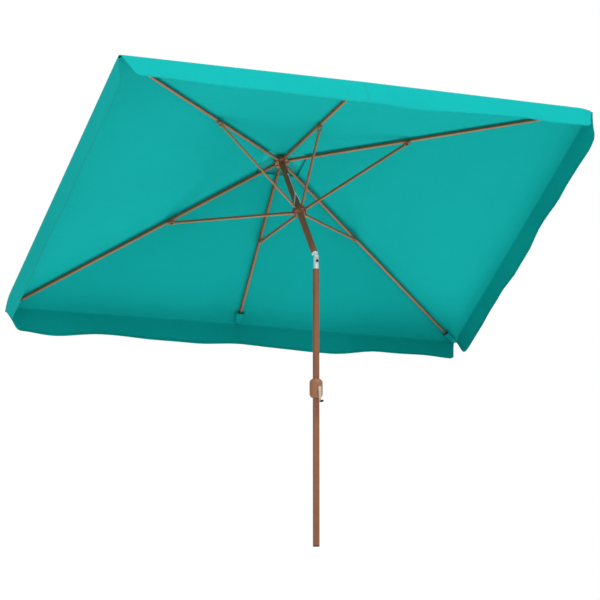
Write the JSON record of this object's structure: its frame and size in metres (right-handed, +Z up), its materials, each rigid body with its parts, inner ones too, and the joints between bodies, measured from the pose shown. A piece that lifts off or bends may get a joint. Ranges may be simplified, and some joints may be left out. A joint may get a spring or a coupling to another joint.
{
  "type": "tilting market parasol",
  "caption": "Rectangular crank-lift parasol with a valance, open and tilted on its pole: ribs, struts, runner, crank housing and push-button tilt joint.",
  "frame": {"origin": "centre of the pole's foot, on the foot plug's bottom face", "axes": "+Z up along the lower pole; +X along the canopy's long side and the tilt pin; the tilted canopy leans towards +Y, and the crank and the tilt button face -Y"},
  "size_m": [3.004, 1.7368, 2.5681],
  "materials": {
    "canopy_fabric": "woven polyester, matt",
    "bronze_paint": "satin bronze powder coat",
    "brown_plastic": "moulded, fine grain",
    "silver_casting": "bright die casting",
    "cream_plastic": "moulded, satin",
    "black_plastic": "moulded, fine grain",
    "steel": "zinc plated",
    "white_cord": "braided"
  },
  "bodies": {
    "pole": {"foot_plug": "black_plastic", "lower_pole": "bronze_paint", "pole_joint_sleeve": "steel", "mid_pole": "bronze_paint", "crank_housing_front": "brown_plastic", "crank_housing_rear": "brown_plastic", "housing_screw_upper": "steel", "housing_screw_lower": "steel", "tilt_lower_fitting": "silver_casting", "tilt_pin": "steel", "button_spring": "steel"},
    "button": {"tilt_button": "black_plastic"},
    "mast": {"tilt_upper_fitting": "silver_casting", "upper_pole": "bronze_paint", "top_hub": "brown_plastic", "hub_pin_ring": "steel", "pulley_pin": "steel", "finial": "brown_plastic", "vent_cap": "canopy_fabric", "gore_front_left": "canopy_fabric", "gore_front_right": "canopy_fabric", "gore_right": "canopy_fabric", "gore_back_right": "canopy_fabric", "gore_back_left": "canopy_fabric", "gore_left": "canopy_fabric", "valance_front": "canopy_fabric", "valance_right": "canopy_fabric", "valance_back": "canopy_fabric", "valance_left": "canopy_fabric"},
    "pulley": {"pulley": "black_plastic"},
    "runner": {"runner": "brown_plastic", "runner_pin_ring": "steel", "lift_cord": "white_cord"},
    "crank": {"crank_spindle": "steel", "crank_arm": "cream_plastic"},
    "knob": {"crank_knob": "black_plastic"},
    "rib_front_left": {"rib_front_left": "bronze_paint", "rib_bracket_front_left": "brown_plastic", "rib_tip_front_left": "brown_plastic"},
    "strut_front_left": {"strut_front_left": "bronze_paint"},
    "rib_front_mid": {"rib_front_mid": "bronze_paint", "rib_bracket_front_mid": "brown_plastic", "rib_tip_front_mid": "brown_plastic"},
    "strut_front_mid": {"strut_front_mid": "bronze_paint"},
    "rib_front_right": {"rib_front_right": "bronze_paint", "rib_bracket_front_right": "brown_plastic", "rib_tip_front_right": "brown_plastic"},
    "strut_front_right": {"strut_front_right": "bronze_paint"},
    "rib_back_right": {"rib_back_right": "bronze_paint", "rib_bracket_back_right": "brown_plastic", "rib_tip_back_right": "brown_plastic"},
    "strut_back_right": {"strut_back_right": "bronze_paint"},
    "rib_back_mid": {"rib_back_mid": "bronze_paint", "rib_bracket_back_mid": "brown_plastic", "rib_tip_back_mid": "brown_plastic"},
    "strut_back_mid": {"strut_back_mid": "bronze_paint"},
    "rib_back_left": {"rib_back_left": "bronze_paint", "rib_bracket_back_left": "brown_plastic", "rib_tip_back_left": "brown_plastic"},
    "strut_back_left": {"strut_back_left": "bronze_paint"}
  },
  "joints": [
    {"name": "tilt", "type": "hinge", "parent": "pole", "child": "mast", "pos_m": [0, 0, 1.662], "axis": [1, 0, 0], "range_deg": [0, 35]},
    {"name": "tilt_button_press", "type": "slide", "parent": "pole", "child": "button", "axis": [0, 1, 0], "range_m": [0, 0.003], "stiffness_N_per_m": 400},
    {"name": "runner_slide", "type": "slide", "parent": "mast", "child": "runner", "axis": [0, -0.5736, -0.8192], "range_m": [0, 0.27], "deforming": ["lift_cord"]},
    {"name": "rib_hinge_front_left", "type": "hinge", "parent": "mast", "child": "rib_front_left", "pos_m": [-0.02663, 0.42941, 2.3062], "axis": [0.5547, -0.6816, 0.4772], "range_deg": [0, 12.5]},
    {"name": "strut_hinge_front_left", "type": "hinge", "parent": "runner", "child": "strut_front_left", "pos_m": [-0.02496, 0.19745, 1.97299], "axis": [-0.5547, 0.6816, -0.4772], "range_deg": [0, 10.4]},
    {"name": "rib_hinge_front_mid", "type": "hinge", "parent": "mast", "child": "rib_front_mid", "pos_m": [0, 0.41774, 2.31438], "axis": [1, 0, 0], "range_deg": [0, 19.9]},
    {"name": "strut_hinge_front_mid", "type": "hinge", "parent": "runner", "child": "strut_front_mid", "pos_m": [0, 0.1865, 1.98066], "axis": [-1, 0, 0], "range_deg": [0, 18.6]},
    {"name": "rib_hinge_front_right", "type": "hinge", "parent": "mast", "child": "rib_front_right", "pos_m": [0.02663, 0.42941, 2.3062], "axis": [0.5547, 0.6816, -0.4772], "range_deg": [0, 12.5]},
    {"name": "strut_hinge_front_right", "type": "hinge", "parent": "runner", "child": "strut_front_right", "pos_m": [0.02496, 0.19745, 1.97299], "axis": [-0.5547, -0.6816, 0.4772], "range_deg": [0, 10.4]},
    {"name": "rib_hinge_back_right", "type": "hinge", "parent": "mast", "child": "rib_back_right", "pos_m": [0.02663, 0.45849, 2.28584], "axis": [-0.5547, 0.6816, -0.4772], "range_deg": [0, 12.5]},
    {"name": "strut_hinge_back_right", "type": "hinge", "parent": "runner", "child": "strut_back_right", "pos_m": [0.02496, 0.22471, 1.9539], "axis": [0.5547, -0.6816, 0.4772], "range_deg": [0, 10.4]},
    {"name": "rib_hinge_back_mid", "type": "hinge", "parent": "mast", "child": "rib_back_mid", "pos_m": [0, 0.47016, 2.27767], "axis": [-1, 0, 0], "range_deg": [0, 19.9]},
    {"name": "strut_hinge_back_mid", "type": "hinge", "parent": "runner", "child": "strut_back_mid", "pos_m": [0, 0.23565, 1.94624], "axis": [1, 0, 0], "range_deg": [0, 18.6]},
    {"name": "rib_hinge_back_left", "type": "hinge", "parent": "mast", "child": "rib_back_left", "pos_m": [-0.02663, 0.45849, 2.28584], "axis": [-0.5547, -0.6816, 0.4772], "range_deg": [0, 12.5]},
    {"name": "strut_hinge_back_left", "type": "hinge", "parent": "runner", "child": "strut_back_left", "pos_m": [-0.02496, 0.22471, 1.9539], "axis": [0.5547, 0.6816, -0.4772], "range_deg": [0, 10.4]},
    {"name": "pulley_spin", "type": "hinge", "parent": "mast", "child": "pulley", "pos_m": [0, 0.37274, 2.20915], "axis": [1, 0, 0], "range_deg": [0, 1471]},
    {"name": "crank_turn", "type": "hinge", "parent": "pole", "child": "crank", "pos_m": [0, 0, 0.9], "axis": [0, 1, 0], "range_deg": [0, 1239]},
    {"name": "knob_spin", "type": "hinge", "parent": "crank", "child": "knob", "pos_m": [0, -0.07, 0.82], "axis": [0, 1, 0], "continuous": true}
  ],
  "couplings": [
    {"joint": "rib_hinge_front_left", "follows": "runner_slide", "rad_per_m": 0.8009},
    {"joint": "strut_hinge_front_left", "follows": "runner_slide", "rad_per_m": 0.66501},
    {"joint": "rib_hinge_front_mid", "follows": "runner_slide", "rad_per_m": 1.2787},
    {"joint": "strut_hinge_front_mid", "follows": "runner_slide", "rad_per_m": 1.1985},
    {"joint": "rib_hinge_front_right", "follows": "runner_slide", "rad_per_m": 0.8009},
    {"joint": "strut_hinge_front_right", "follows": "runner_slide", "rad_per_m": 0.66501},
    {"joint": "rib_hinge_back_right", "follows": "runner_slide", "rad_per_m": 0.8009},
    {"joint": "strut_hinge_back_right", "follows": "runner_slide", "rad_per_m": 0.66501},
    {"joint": "rib_hinge_back_mid", "follows": "runner_slide", "rad_per_m": 1.2787},
    {"joint": "strut_hinge_back_mid", "follows": "runner_slide", "rad_per_m": 1.1985},
    {"joint": "rib_hinge_back_left", "follows": "runner_slide", "rad_per_m": 0.8009},
    {"joint": "strut_hinge_back_left", "follows": "runner_slide", "rad_per_m": 0.66501},
    {"joint": "pulley_spin", "follows": "runner_slide", "rad_per_m": 95},
    {"joint": "crank_turn", "follows": "runner_slide", "rad_per_m": 80}
  ]
}
